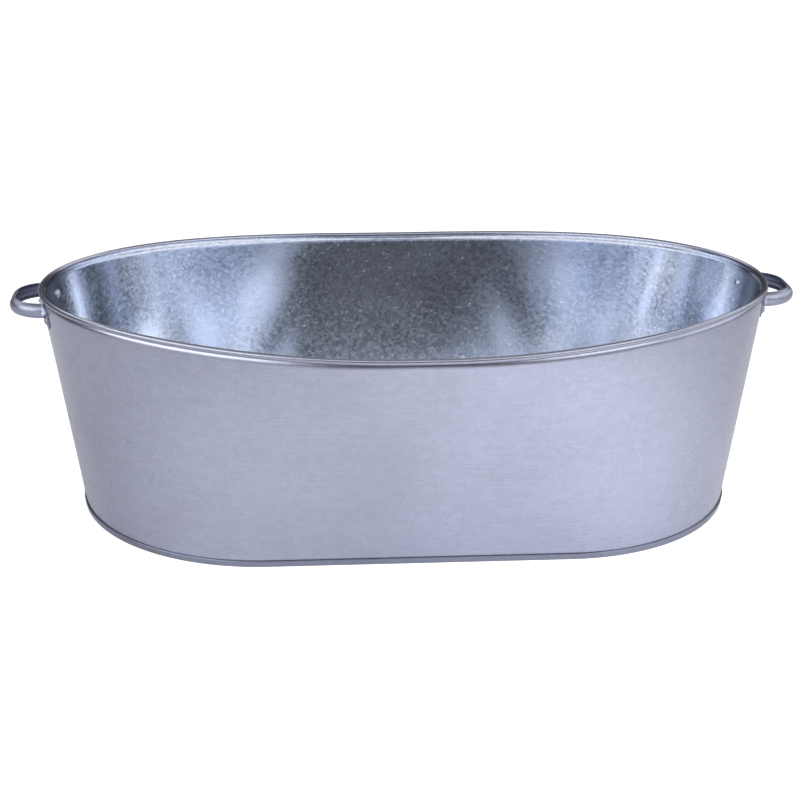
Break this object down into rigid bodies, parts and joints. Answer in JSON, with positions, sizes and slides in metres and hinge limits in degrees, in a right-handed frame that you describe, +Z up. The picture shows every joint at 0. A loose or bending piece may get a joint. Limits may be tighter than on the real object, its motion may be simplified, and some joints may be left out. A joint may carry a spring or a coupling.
{
  "type": "livestock water trough",
  "caption": "Oval galvanised sheet-steel trough with tapered walls, a rolled rim, a hemmed base and a riveted strap handle at each end.",
  "frame": {"origin": "middle of the footprint, on the ground", "axes": "+X along the tub's length towards one handle, +Y across it, +Z up"},
  "size_m": [0.866, 0.54, 0.2441],
  "materials": {
    "galvanised_sheet": "dull galvanised, finely brushed, faint spangle",
    "galvanised_base": "dull galvanised, faint spangle",
    "rim_wire_steel": "drawn wire",
    "galvanised_fittings": "smooth bright zinc",
    "galvanised_rivets": "smooth bright zinc"
  },
  "bodies": {
    "root": {"wall_front": "galvanised_sheet", "wall_back": "galvanised_sheet", "rim_wire": "rim_wire_steel", "base_pan": "galvanised_base", "handle_left": "galvanised_fittings", "handle_right": "galvanised_fittings", "rivets_left": "galvanised_rivets", "rivets_right": "galvanised_rivets"}
  },
  "joints": []
}
